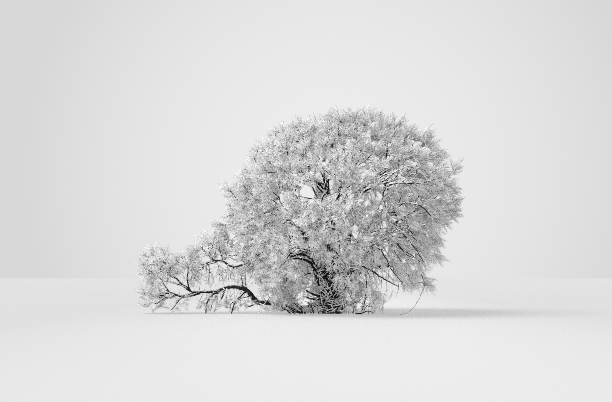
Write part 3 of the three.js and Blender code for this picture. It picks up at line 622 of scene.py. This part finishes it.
# Trunk and limbs, with the relief of the bark

def furrows(x, y, along, depth):
    """How far the bark is sunk at a place: deep along a net of long lines."""
    warp = noise.noise(Vector((x * 3, y * 3, along * 1.5))) * 0.5
    value = abs(noise.noise(Vector((x * FURROWS_ACROSS + warp, y * FURROWS_ACROSS, along * FURROWS_ALONG))))
    fine = noise.noise(Vector((x * CRACKS_ACROSS, y * CRACKS_ACROSS, along * CRACKS_ALONG)))
    return -depth * (max(0.0, 1 - value * FURROW_SHARPNESS) - CRACK_SHARE * fine)


def limb_faces(points, radii):
    """A tapering limb whose foot swells where it leaves its parent, with knobs and bark relief."""
    path = smooth_path(points, LIMB_STEP)
    _, across = frames_along(path)
    t = np.linspace(0, 1, len(path))
    lengths = t * (len(path) - 1) * LIMB_STEP
    radius = radii[0] + (radii[1] - radii[0]) * t
    radius = radius * (1 + LIMB_SWELL * np.exp(-lengths / (radii[0] * SWELL_LENGTH)))
    sides = max(10, round(2 * math.pi * radii[0] / BARK_FACET))
    verts = np.zeros((len(path), sides, 3))
    for i in range(len(path)):
        depth = FURROW_DEPTH * min(1, radius[i] / FULL_DEPTH_RADIUS)
        for j, angle in enumerate(np.arange(sides) * 2 * math.pi / sides):
            x, y = radius[i] * math.cos(angle), radius[i] * math.sin(angle)
            knobs = LIMB_KNOBS * noise.noise(Vector((x * 4, y * 4, lengths[i] * 2.2 + points[0][0] * 7)))
            r = radius[i] * (1 + knobs) + furrows(x, y, lengths[i] + points[0][1] * 9, depth)
            verts[i, j] = path[i] + r * (math.cos(angle) * across[i, 0] + math.sin(angle) * across[i, 1])
    tip = path[-1] + (path[-1] - path[-2]) * 0.5
    for place in (verts, tip):
        place[..., 2] = np.maximum(place[..., 2], 0.0)
    return capped(verts, tip)


def capped(rings, tip):
    """Faces over rings of vertices, drawn together to a tip at the end."""
    faces = Faces()
    faces.add(np.vstack([rings.reshape(-1, 3), [tip]]), ring_tris(*rings.shape[:2]), 0)
    return faces


def trunk_faces():
    """The trunk, with its root flare, flutes and furrows, standing on a flat cut."""
    verts = np.zeros((TRUNK_RINGS, TRUNK_SIDES, 3))
    for i in range(TRUNK_RINGS):
        t = i / (TRUNK_RINGS - 1)
        base = np.interp(t, np.linspace(0, 1, len(TRUNK_RADII)), TRUNK_RADII)
        for j in range(TRUNK_SIDES):
            angle = 2 * math.pi * j / TRUNK_SIDES
            lobes = ROOT_LOBE_DEPTH * (1 - t) ** 3 * math.cos(ROOT_LOBES * angle + 0.6)
            flutes = FLUTE_DEPTH * math.cos(FLUTES * angle + 2 * t)
            r = base * (1 + lobes + flutes)
            x, y = r * math.cos(angle), r * math.sin(angle)
            knobs = TRUNK_KNOBS * noise.noise(Vector((x * 2.5, y * 2.5, t * 5)))
            r = r * (1 + knobs) + furrows(x, y, t * TRUNK_HEIGHT, FURROW_DEPTH * TRUNK_FURROWS)
            outline = np.array([math.cos(angle), -math.sin(angle)]) * r
            verts[i, j] = *(outline + TRUNK_LEAN * t), t * TRUNK_HEIGHT
    verts = verts[:, ::-1]
    faces = capped(verts, (*TRUNK_LEAN, TRUNK_HEIGHT + 0.06))
    here = np.arange(TRUNK_SIDES)
    cut = np.stack([(here + 1) % TRUNK_SIDES, here, np.full(TRUNK_SIDES, TRUNK_SIDES)], -1)
    faces.add(np.vstack([verts[0], [verts[0].mean(0)]]), cut, 0)
    return faces


# Rimed twigs, and sprays of them. Until they are placed, their faces have two labels: a tone from 0
# (bright) to 2 (dull), and what part of a twig each one is.

def add_rimed_twig(twigs, random, start, heading, length, radius, flakes, tone, lean=FLAKE_LEAN):
    """A slim three-sided spike with flakes of rime that stand off it, or lie more along it."""
    side = unit(np.cross(heading, random.normal(0, 1, 3)))
    up = np.cross(heading, side)
    tip = start + heading * length + random.normal(0, 0.1, 3) * length
    foot = [start + radius * (math.cos(a) * side + math.sin(a) * up) for a in (0, 2.09, 4.19)]
    twigs.add([*foot, tip], [[0, 1, 3], [1, 2, 3], [2, 0, 3]], tone, CORE)
    t = (np.arange(flakes) + random.random(flakes)) / max(flakes, 1)
    turn = random.uniform(0, 6.28, flakes)
    out = unit(
        np.cos(turn)[:, None] * side + np.sin(turn)[:, None] * up
        + heading * random.uniform(*lean, flakes)[:, None]
    )
    place = start + (tip - start) * t[:, None]
    edge = heading * FLAKE_WIDTH * random.uniform(0.3, 0.6, flakes)[:, None]
    far = place + out * (random.uniform(*FLAKE_LENGTH, flakes) * (1.15 - 0.4 * t))[:, None]
    verts = np.stack([place - edge, place + edge, far], 1)
    tones = np.clip(tone + random.integers(-1, 2, flakes), 0, 2)
    twigs.add(verts, np.arange(3 * flakes), tones, FLAKE)


def spray_template(seed, leans, reach, flake_lean):
    """One spray, growing along +Z from the origin: a leader, and rimed twigs on all its sides that
    lean away from it between two angles."""
    random = np.random.default_rng(seed)
    twigs = Faces()
    length = LEADER_LENGTH * random.uniform(0.85, 1.15)
    t = np.linspace(0, 1, 3)[:, None]
    leader = np.array([0, 0, 1.0]) * length * t + random.normal(0, 0.12, 3) * (1, 1, 0) * t**2
    verts, tris, _ = tube(leader, [TWIG_RADIUS, LEADER_TIP_RADIUS], 3)
    twigs.add(verts, tris, PLAIN, STEM)
    turn = random.uniform(0, 6.28)
    for i in range(SIDE_TWIGS + 1):
        t = min((i + 0.8) / SIDE_TWIGS, 1.0)
        start = np.array([np.interp(t, (0, 0.5, 1), leader[:, j]) for j in range(3)])
        turn += 2.4 + random.uniform(-0.5, 0.5)
        lean = random.uniform(*leans) * (0.3 if i == SIDE_TWIGS else 1)
        heading = np.array([math.cos(turn), math.sin(turn), 0]) * math.sin(lean) + (0, 0, math.cos(lean))
        span = reach * (1.12 - 0.55 * t) * random.uniform(0.7, 1.25)
        tone = random.choice(3, p=(0.3, 0.4, 0.3))
        add_rimed_twig(twigs, random, start, heading, span, TWIG_RADIUS, FLAKES_PER_TWIG, tone, flake_lean)
    return twigs.arrays()


TEMPLATES = [spray_template(100 + i, OPEN_LEAN, OPEN_REACH, FLAKE_LEAN) for i in range(OPEN_SPRAYS)]
TEMPLATES += [
    spray_template(200 + i, COMBED_LEAN, COMBED_REACH, COMBED_FLAKE_LEAN) for i in range(COMBED_SPRAYS)
]


def turned_to(headings, spins):
    """Rotation matrices that take +Z to each heading, after a spin about +Z."""
    z = unit(headings)
    helper = np.where(np.abs(z[:, 2:]) < 0.9, [[0.0, 0.0, 1.0]], [[1.0, 0.0, 0.0]])
    x = unit(np.cross(helper, z))
    y = np.cross(z, x)
    c, s = np.cos(spins)[:, None], np.sin(spins)[:, None]
    return np.stack([x * c + y * s, y * c - x * s, z], -1)


def face_directions(verts, tris):
    a, b, c = verts[tris[:, 0]], verts[tris[:, 1]], verts[tris[:, 2]]
    return unit(np.cross(b - a, c - a))


def place_sprays(faces, places, headings, sizes, tints, combed):
    """Copies of the templates, each turned to its heading; the rime's tint goes by spray, and a share
    of them is combed. A spray that would reach the ground or come out too far is left off."""
    draw = rng.random((2, len(places)))
    which = np.where(
        draw[0] < combed, OPEN_SPRAYS + draw[1] * COMBED_SPRAYS, draw[1] * OPEN_SPRAYS
    ).astype(int)
    turns = turned_to(headings, rng.uniform(0, 2 * math.pi, len(places)))
    for k, (verts, tris, tones, parts) in enumerate(TEMPLATES):
        chosen = np.nonzero(which == k)[0]
        if not len(chosen):
            continue
        moved = np.einsum("nij,vj->nvi", turns[chosen], verts) * sizes[chosen, None, None]
        moved += places[chosen, None]
        low, high = moved.min(1), moved.max(1)
        inside = (low[:, 2] > LOWEST) & (low > BOX_LOW).all(1) & (high < BOX_HIGH).all(1)
        chosen, moved = chosen[inside], moved[inside]
        facing = np.einsum("nij,tj,i->nt", turns[chosen], face_directions(verts, tris), RIME_SIDE)
        kinds = np.where(facing < BARE_BELOW[parts][None], DARK, TINTS[tints[chosen, None], tones[None]])
        many = tris[None] + (np.arange(len(chosen)) * len(verts))[:, None, None]
        faces.add(moved, many, kinds.ravel())


def add_rimed(faces, twigs, tint):
    """Twigs built where they stand, clear of the ground."""
    verts, tris, tones, parts = twigs.arrays()
    kinds = np.where(face_directions(verts, tris) @ RIME_SIDE < BARE_BELOW[parts], DARK, TINTS[tint, tones])
    clear = verts[tris][:, :, 2].min(1) > LOWEST
    verts[:, 2] = np.maximum(verts[:, 2], LOWEST)
    faces.add(verts, tris[clear], kinds[clear])


# Views that stay open

def from_view(view, points):
    """How far points stand from the middle of an open view, in its half sizes."""
    centre, half, climb, slide, _ = view
    return (points - centre - points[..., 1:2] * (slide, 0, climb)) / half


def blocked(points, chance):
    """Which points lie in an open view, for a chance from 0 to 1 at each."""
    found = np.zeros(len(points), bool)
    for view in OPEN_VIEWS:
        found |= ((from_view(view, points) ** 2).sum(1) < 1) & (chance >= view[-1])
    return found


def in_the_open(branch):
    """Whether a small branch would stand in an open view."""
    start, _, end, _, count = branch
    places = np.array([start, (start + end) / 2, end])
    return count <= SMALL_BRANCH and blocked(places, np.full(3, 0.1)).sum() > 1


def pushed_out(point):
    """A fork's place, moved sideways out of any view that is quite open."""
    for view in OPEN_VIEWS:
        away = from_view(view, point)
        depth = np.linalg.norm(away)
        if view[-1] <= 0.05 and depth < 1:
            point = point + away * view[1] * (1, 0, 1) * (1.05 / max(depth, 0.3) - 1)
    return point


# Places for tufts, and the branches that carry them

def surface_of(name):
    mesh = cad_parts[name].data
    return BVHTree.FromPolygons([v.co[:] for v in mesh.vertices], [p.vertices[:] for p in mesh.polygons])


def inside_by(surface, point):
    """How far a point lies inside a closed surface; less than nothing outside it."""
    near, normal, _, distance = surface.find_nearest(Vector(point))
    return distance if (Vector(point) - near).dot(normal) < 0 else -distance


def tuft_places(low, high, surfaces, centre, depths, spacing):
    """Places at some depth under the outer side of a group of masses, none close to another, each
    with the number of the mass that it lies in."""
    tries = int(np.prod(high - low) * TRIES_PER_CUBIC_METRE)
    places, owners = np.zeros((0, 3)), []
    for point in rng.uniform(low, high, (tries, 3)):
        if len(places) and ((places - point) ** 2).sum(1).min() < spacing**2:
            continue
        outward = Vector(unit(point - centre))
        outermost = 0
        for surface in surfaces:
            hit = surface.ray_cast(Vector(centre) + outward * 20, -outward)[0]
            if hit is not None:
                outermost = max(outermost, (hit - Vector(centre)).length)
        if not depths[0] < outermost - np.linalg.norm(point - centre) < depths[1]:
            continue
        within = [inside_by(surface, point) for surface in surfaces]
        owner = int(np.argmax(within))
        if within[owner] >= -0.05:
            places = np.vstack([places, point])
            owners.append(owner)
    return places, np.array(owners)


def crown_tufts(names):
    """All tufts of the round crown, and the mass that each belongs to."""
    fill = FILLS["crown"]
    surfaces = [surface_of(name) for name in names]
    corners = np.array([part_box(name) for name in names])
    low, high = corners[:, 0].min(0), corners[:, 1].max(0)
    layers = [
        tuft_places(low, high, surfaces, CROWN_CENTRE, depth, spacing)
        for depth, spacing in ((fill["depth"], fill["spacing"]), (INNER_DEPTH, INNER_SPACING))
    ]
    added = np.array(ADDED_TUFTS)
    layers.append((added, [np.argmax([inside_by(surface, p) for surface in surfaces]) for p in added]))
    places, owners = zip(*layers)
    return np.vstack(places), np.concatenate(owners)


def two_groups(points):
    """Splits points into two nearby groups, each round its own middle."""
    spread = points - points.mean(0)
    axis = np.linalg.svd(spread, full_matrices=False)[2][0]
    side = spread @ axis > 0
    for _ in range(3):
        if side.all() or not side.any():
            break
        a, b = points[side].mean(0), points[~side].mean(0)
        side = ((points - a) ** 2).sum(1) < ((points - b) ** 2).sum(1)
    if side.all() or not side.any():
        side = np.arange(len(points)) % 2 == 0
    return points[side], points[~side]


def grow(branches, start, heading, tips, feet):
    """Forks again and again towards the tufts. A branch is its start and heading there, its end and
    heading there, and how many tufts it carries. Each tuft gets a foot, with a heading."""
    if len(tips) == 1:
        foot = tips[0]
        branches.append((start, heading, foot, unit(foot - start), 1))
        feet.append((foot, unit(foot - start)))
        return
    for group in two_groups(tips):
        middle = group.mean(0)
        if len(group) == 1:
            grow(branches, start, unit(middle - start), group, feet)
            continue
        node = start + (middle - start) * (FORK_OF_MANY if len(group) > MANY_TUFTS else FORK_OF_FEW)
        node = node + rng.normal(0, WANDER, 3) * np.linalg.norm(node - start)
        if len(group) > SMALL_BRANCH:
            node = pushed_out(node)
        onward = unit(unit(middle - node) + KEPT_HEADING * heading)
        branches.append((start, heading, node, onward, len(group)))
        grow(branches, node, onward, group, feet)


LIMB_PATHS = {name: smooth_path(metres(points), 0.2) for name, (_, points) in LIMBS.items()}


def hang(branches, tips, feet):
    """Each tuft under the fallen limb hangs from it on a branch of its own."""
    limb = np.vstack([LIMB_PATHS[name] for name in ("fallen_arch", "fallen_back")])
    for tip in tips:
        start = limb[np.abs(limb[:, 0] - tip[0] - rng.normal(0.25, 0.2)).argmin()]
        branches.append((start, unit(rng.normal(0, 0.5, 3) + (-0.3, 0, -0.6)), tip, unit(tip - start), 0.5))
        feet.append((tip, unit(tip - start)))


def root_of(middle, name):
    """Where a mass's first branch leaves the limbs: the nearest place on one, drawn towards the fork."""
    if name.startswith("sucker"):
        return SUCKER_ROOT
    places = np.vstack([
        path[len(path) // 3:] for limb, path in LIMB_PATHS.items()
        if limb.startswith(("fallen", "limb")) != name.startswith("crown")
    ])
    pulled = middle + (FAN_CENTRE - middle) * (0.35 if name.startswith("crown") else 0.0)
    return places[((places - pulled) ** 2).sum(1).argmin()]


def add_branch(wood, start, heading, end, onward, count):
    """One branch as a curved tube, dark with rime on the weather side."""
    span = np.linalg.norm(end - start)
    steps = max(2, round(span / BRANCH_STEP))
    t = np.linspace(0, 1, steps + 1)[:, None]
    lead = span * BRANCH_LEAD
    path = (
        (2 * t**3 - 3 * t**2 + 1) * start + (t**3 - 2 * t**2 + t) * heading * lead
        + (-2 * t**3 + 3 * t**2) * end + (t**3 - t**2) * onward * lead
    )
    path[1:-1] += rng.normal(0, BRANCH_NOISE, (steps - 1, 3))
    path = np.vstack([path, path[-1] + onward * 0.02])
    verts, tris, out = tube(path, np.full(len(path), TUFT_RADIUS * count**PIPE_POWER), 6 if count > 4 else 5)
    if verts[:, 2].min() > LOWEST:
        bare = rng.uniform(*BARE_WOOD_BELOW["branch"], len(out))
        wood.add(verts, tris, np.where(out @ RIME_SIDE > bare, PLAIN, DARK))


# Filling a mass

def clumps_and_painted_light(places):
    """The rime's tint by place: clumps of tone at random, and painted light and shade: named brighter and
    duller places, painted light low down, darker high up, and painted shade to the right.
    """
    clumps = np.array([noise.noise(Vector(p * CLUMPS_PER_METRE)) for p in places])
    value = clumps * np.interp(places[:, 0], *CLUMPS_BY_X)
    # Painted pools of light and shade on the front of the crown, place by place
    for x, z, radius, change in PAINTED_LIGHT_AND_SHADE_PLACES:
        away = np.hypot(places[:, 0] - x, places[:, 2] - z) / radius
        value += change * np.exp(-away**2) * (places[:, 1] < 0)
    # Painted light bounced up from the floor low down, darker high up, and painted shade to the right
    low = np.maximum(PAINTED_LIGHT_UNDER - places[:, 2], 0) * np.interp(places[:, 0], *PAINTED_LIGHT_UNDER_BY_X)
    high = LOSS_UPWARDS * np.maximum(places[:, 2] - LOSS_OVER, 0)
    return value - PAINTED_SHADE_TO_RIGHT * places[:, 0] + low - high


def fan_centre(places):
    """Where the twigs at a place fan out from: higher up for the low ones on the right."""
    share = np.interp(places[:, :1], *HIGH_FAN_BY_X) * np.interp(places[:, 2:], *HIGH_FAN_BY_Z)
    return FAN_CENTRE + (HIGH_FAN_CENTRE - FAN_CENTRE) * share


def add_tufts(name, feet, fill, centre):
    """Sprays of rimed twigs at each foot, fanned out from a centre. The crown has its own centre, and
    its sprays lie closer along the branches and are combed on the right side."""
    count = fill["sprays"]
    tuft, grown = (np.repeat(feet[:, i], count, axis=0) for i in range(2))
    outward = unit(tuft - (fan_centre(tuft) if centre is None else centre))
    level = np.hypot(outward[:, 0], outward[:, 1])
    turn = np.repeat(rng.normal(0, TUFT_TURN, (len(feet), 3)), count, axis=0)
    main = ALONG_BRANCH * grown + OUTWARD * outward + turn
    main[:, 2] -= fill["droop"] * level
    fan = rng.normal(0, fill["fan"], tuft.shape) * np.interp(tuft[:, :1], *SPREAD_BY_X)
    heading = unit(unit(main) + fan)
    sizes = fill["size"] * rng.uniform(*SPRAY_SIZES, len(tuft))
    foot = tuft + heading * rng.uniform(*SPRAY_FEET, (len(tuft), 1))
    chance = rng.random(len(tuft))
    shut = [blocked(foot + heading * sizes[:, None] * reach, chance) for reach in TRIED_PLACES]
    kept = ~np.any(shut, axis=0) | name.startswith("sucker")
    kept |= not kept.any()
    foot, heading, sizes = foot[kept], heading[kept], sizes[kept]
    scatter = rng.normal(0, CHANCE_WEIGHT, len(foot))
    # The score carries painted light and shade by place, so the tints do too
    score = clumps_and_painted_light(foot) + FACING_WEIGHT * (heading @ RIME_SIDE) + scatter
    tints = np.where(score > BRIGHT_SCORE, BRIGHT, np.where(score > PLAIN_SCORE, PLAIN, DULL))
    combed = np.interp(foot[:, 0], *COMBED_BY_X) if centre is None else 0.2
    twigs = Faces()
    place_sprays(twigs, foot, heading, sizes, tints, combed)
    make_piece(f"{name}_twigs", twigs, TWIG_MATERIALS, stands_for=(name,))


def fill_mass(name, tips=None):
    """Stands branches and tufts of rimed twigs in place of one mass. The crown's tips are given."""
    fill = FILLS.get(name, FILLS[name.split("_")[0]])
    low, high = (np.array(corner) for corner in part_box(name))
    middle = (low + high) / 2
    centre = None
    if tips is None:
        centre = middle - (0, 0, 0.6 * (high - low)[2])
        tips, _ = tuft_places(low, high, [surface_of(name)], centre, fill["depth"], fill["spacing"])
    branches, feet = [], []
    if name == "fallen_under":
        hang(branches, tips, feet)
    else:
        root = root_of(middle, name)
        grow(branches, root, unit(middle - root), tips, feet)
    wood = Faces()
    clear = [branch for branch in branches if name.startswith("sucker") or not in_the_open(branch)]
    for branch in clear or branches:
        add_branch(wood, *branch)
    make_piece(f"{name}_branches", wood, TWIG_MATERIALS)
    add_tufts(name, np.array(feet), fill, centre)


# Twigs along a limb, shoots on the trunk, and branches of their own

def fringe(twigs, path, per_metre, length, radius=0.012, flakes=6, up=0.5):
    """Rimed twigs standing off a path on all sides, more of them upwards."""
    span = np.linalg.norm(np.diff(path, axis=0), axis=1).sum()
    tangents = unit(np.gradient(path, axis=0))
    for _ in range(round(span * per_metre)):
        place = rng.random() * (len(path) - 1)
        start = along_path(path, place)
        heading = unit(rng.normal(0, 1, 3) + tangents[int(place)] * 0.9 + (0, 0, up))
        reach = length * rng.uniform(0.6, 1.4)
        if start[2] + heading[2] * reach < 0.06:
            heading[2] = abs(heading[2])
        add_rimed_twig(twigs, rng, start, heading, reach, radius, flakes, rng.integers(0, 3))


def small_branches():
    """The branches with a place of their own, dark with rime on top and rimed twigs on them."""
    wood, rime = Faces(), Faces()
    branches = [(kind, branch) for kind, group in SMALL_BRANCHES for branch in group]
    for kind, (foot_radius, tip_radius, per_metre, length, points) in branches:
        path = smooth_path(metres(points), SMALL_BRANCH_STEP)
        path[1:-1] += rng.normal(0, 0.006, (len(path) - 2, 3))
        radii = np.linspace(foot_radius, tip_radius, len(path))
        path[:, 2] = np.maximum(path[:, 2], radii + LOWEST)
        verts, tris, out = tube(path, radii, SMALL_BRANCH_SIDES)
        if kind in MOTTLED:
            lengths = len(out) // SMALL_BRANCH_SIDES
            bare = np.repeat(rng.uniform(*BARE_WOOD_BELOW["mottled"], lengths), SMALL_BRANCH_SIDES)
        else:
            limits = BARE_WOOD_BELOW.get(kind, BARE_WOOD_BELOW["small branch"])
            bare = rng.uniform(*limits, len(out))
        wood.add(verts, tris, np.where(out @ RIME_SIDE > bare, PLAIN, DARK))
        twigs = Faces()
        fringe(twigs, path[len(path) // 5:], per_metre, length)
        add_rimed(rime, twigs, PLAIN)
    make_piece("small_branches", wood, TWIG_MATERIALS)
    make_piece("small_branch_twigs", rime, TWIG_MATERIALS)


def lie_shoots(faces, path, radii, count, lengths):
    """Rimed shoots that spring from a limb's bark and lie over it in all directions."""
    tangents, across = frames_along(path)
    for _ in range(count):
        place = rng.uniform(0.03, 0.95) * (len(path) - 1)
        i = int(place)
        turn = rng.uniform(0, 2 * math.pi)
        out = math.cos(turn) * across[i, 0] + math.sin(turn) * across[i, 1]
        around = np.cross(tangents[i], out)
        radius = np.interp(place, np.arange(len(path)), radii)
        start = along_path(path, place) + out * radius * 0.96
        heading = unit(out * 0.5 + around * rng.normal(0, 1.0) + tangents[i] * rng.uniform(-0.5, 1.3))
        bend = rng.normal(0, 0.12, 3)
        length = rng.uniform(*lengths)
        shoot = np.array([start + heading * length * k + bend * k * k for k in (0, 0.4, 0.75, 1)])
        shoot[:, 2] = np.maximum(shoot[:, 2], 0.05)
        verts, tris, facing = tube(shoot, SHOOT_RADII, 3)
        faces.add(verts, tris, np.where(facing @ RIME_SIDE > BARE_SHOOT_BELOW, BRIGHT, DARK))


def shoots():
    """Shoots on the trunk, and rimed twigs along the limbs."""
    faces, twigs = Faces(), Faces()
    heights = np.linspace(0, 1, len(TRUNK_RADII))[:, None]
    for name, (count, lengths) in BARK_SHOOTS.items():
        if name == "trunk":
            path, radii = heights * (*TRUNK_LEAN, TRUNK_HEIGHT), TRUNK_RADII
        else:
            path = LIMB_PATHS[name]
            radii = np.linspace(*LIMBS[name][0], len(path))
        lie_shoots(faces, path, radii, count, lengths)
    for name, path in LIMB_PATHS.items():
        if not name.startswith("bough"):
            fringe(twigs, path, 8, 0.24)
        elif name != "bough_left_arch":
            fringe(twigs, path[5:], 12, 0.34)
    add_rimed(faces, twigs, PLAIN)
    make_piece("shoots", faces, TWIG_MATERIALS)


def hanging_twigs():
    """Long thin twigs with short ones on them, under the crown and between the two left limbs."""
    faces = Faces()
    for count, low, high, lengths, standing in SLENDER_TWIGS:
        for i in range(count):
            place = rng.uniform(low, high)
            length = rng.uniform(*lengths)
            drift = np.array([rng.normal(0.15, 0.2), rng.normal(0, 0.2), 0])
            t = np.linspace(0, 1, 5)[:, None]
            if i < count * standing:
                path = place * (0.85, 0.5, 0) + (0, 0, 0.02) + (0, 0, 1) * t * length + drift * t**2
            else:
                path = place - (0, 0, 1) * t * length + drift * (1.2 * t - t**2) * 1.5
            if path[:, 2].min() < 0.015:
                continue
            verts, tris, out = tube(path, np.linspace(0.016, 0.01, len(path)), 3)
            bare = rng.uniform(*BARE_WOOD_BELOW["slender twig"])
            faces.add(verts, tris, np.where(out @ RIME_SIDE > bare, PLAIN, DARK))
            twigs = Faces()
            fringe(twigs, path, 11, 0.17, radius=0.009, flakes=4, up=0.0)
            add_rimed(faces, twigs, BRIGHT)
    make_piece("hanging_twigs", faces, TWIG_MATERIALS)


def loose_sprays():
    """Sprays on no branch, where the picture shows twigs between the limbs."""
    faces = Faces()
    for low, high, count, sizes, lean, tints in LOOSE_SPRAYS:
        places = rng.uniform(low, high, (count, 3))
        headings = unit(rng.normal(0, 0.8, (count, 3)) + lean)
        place_sprays(faces, places, headings, rng.uniform(*sizes, count), rng.integers(0, tints, count), 0.3)
    make_piece("loose_sprays", faces, TWIG_MATERIALS)


# The whole tree

def build_tree():
    make_piece("trunk_bark", trunk_faces(), [BARK], stands_for=("trunk",), smooth=True)
    for name, (radii, points) in LIMBS.items():
        faces = limb_faces(metres(points), radii)
        make_piece(f"{name}_bark", faces, [BARK], stands_for=(name,), smooth=True)
    masses = [name for name in sorted(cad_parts) if name not in LIMBS and name != "trunk"]
    in_crown = [name for name in masses if name.startswith("crown") and name != "crown_foot"]
    tufts, owners = crown_tufts(in_crown)
    for i, name in enumerate(in_crown):
        fill_mass(name, tufts[owners == i])
    for name in masses:
        if name not in in_crown:
            fill_mass(name)
    small_branches()
    shoots()
    hanging_twigs()
    loose_sprays()


# Floor, light and camera

def floor_material():
    """Pale floor, a little darker away from the tree, with painted light: a little brighter far behind it,
    and a glow of its own that softens the shadows on it.
    """
    material = matt("floor", (0.8, 0.8, 0.8), 0.9)
    tree = material.node_tree
    place = add_node(tree, "TexCoord", {}, "Object")
    narrowed = add_node(tree, "VectorMath", {0: place, 1: (1.0, 0.15, 1.0)}, "Vector", "MULTIPLY")
    distance = add_node(tree, "VectorMath", {0: narrowed}, "Value", "LENGTH")
    (near, near_tone), (far, far_tone) = FLOOR_NEAR, FLOOR_FAR
    tone = ranged(tree, distance, near, far, near_tone, far_tone)
    direction = add_node(tree, "VectorMath", {0: place}, "Vector", "NORMALIZE")
    glow_bearing = (GLOW_DIRECTION[0], 1.0, 0.0)
    behind = add_node(tree, "VectorMath", {0: direction, 1: glow_bearing}, "Value", "DOT_PRODUCT")
    # Painted light: brighter far behind the tree, where the sky glows
    painted_haze = ranged(tree, behind, 0.88, 1.0, 0.0, FLOOR_PAINTED_HAZE)
    total = add_node(tree, "Math", {0: tone, 1: painted_haze}, "Value", "ADD")
    # The floor's glow is painted light, which lifts the shadows cast on it
    for share, socket in ((FLOOR_ALBEDO, "Base Color"), (FLOOR_GLOW, "Emission Strength")):
        part = add_node(tree, "Math", {0: total, 1: share}, "Value", "MULTIPLY")
        set_inputs(tree, tree.nodes["Principled BSDF"], {socket: part})
    return material


def build_floor():
    mesh = bpy.data.meshes.new("floor")
    corners = [(x * FLOOR_SIZE, y * FLOOR_SIZE, 0) for x, y in ((-1, -1), (1, -1), (1, 1), (-1, 1))]
    mesh.from_pydata(corners, [], [(0, 1, 2, 3)])
    mesh.materials.append(floor_material())
    place_in_scene("floor", mesh)


def build_light():
    """Even pale light all round, a little brighter over the tree, and a soft sun."""
    world = bpy.data.worlds.new("soft_sky")
    bpy.context.scene.world = world
    world.use_nodes = True
    world.cycles.sampling_method = "NONE" # an even sky is smoothest when met by chance
    tree = world.node_tree
    place = add_node(tree, "TexCoord", {}, "Generated")
    towards = add_node(tree, "VectorMath", {0: place, 1: GLOW_DIRECTION}, "Value", "DOT_PRODUCT")
    tone = ranged(tree, towards, 0.94, 1.0, SKY_DIM, SKY_GLOW)
    set_inputs(tree, tree.nodes["Background"], {"Color": tone})

    sun = bpy.data.lights.new("high_left", "SUN")
    sun.energy = SUN_STRENGTH
    sun.angle = SUN_WIDTH
    place_in_scene("high_left", sun).rotation_euler = (SUN_SLOPE, 0, SUN_BEARING)


def build_camera():
    data = bpy.data.cameras.new("camera")
    data.lens = LENS
    data.clip_end = 2000
    camera = place_in_scene("camera", data)
    camera.location = CAMERA_PLACE
    camera.rotation_euler = (math.radians(90) + CAMERA_TILT, 0, 0)
    scene = bpy.context.scene
    scene.camera = camera
    scene.view_settings.view_transform = "Standard"
    scene.cycles.use_denoising = False # the twigs are as fine as the grain it would take out
    scene.cycles.filter_width = 0.8


build_tree()
build_floor()
build_light()
build_camera()
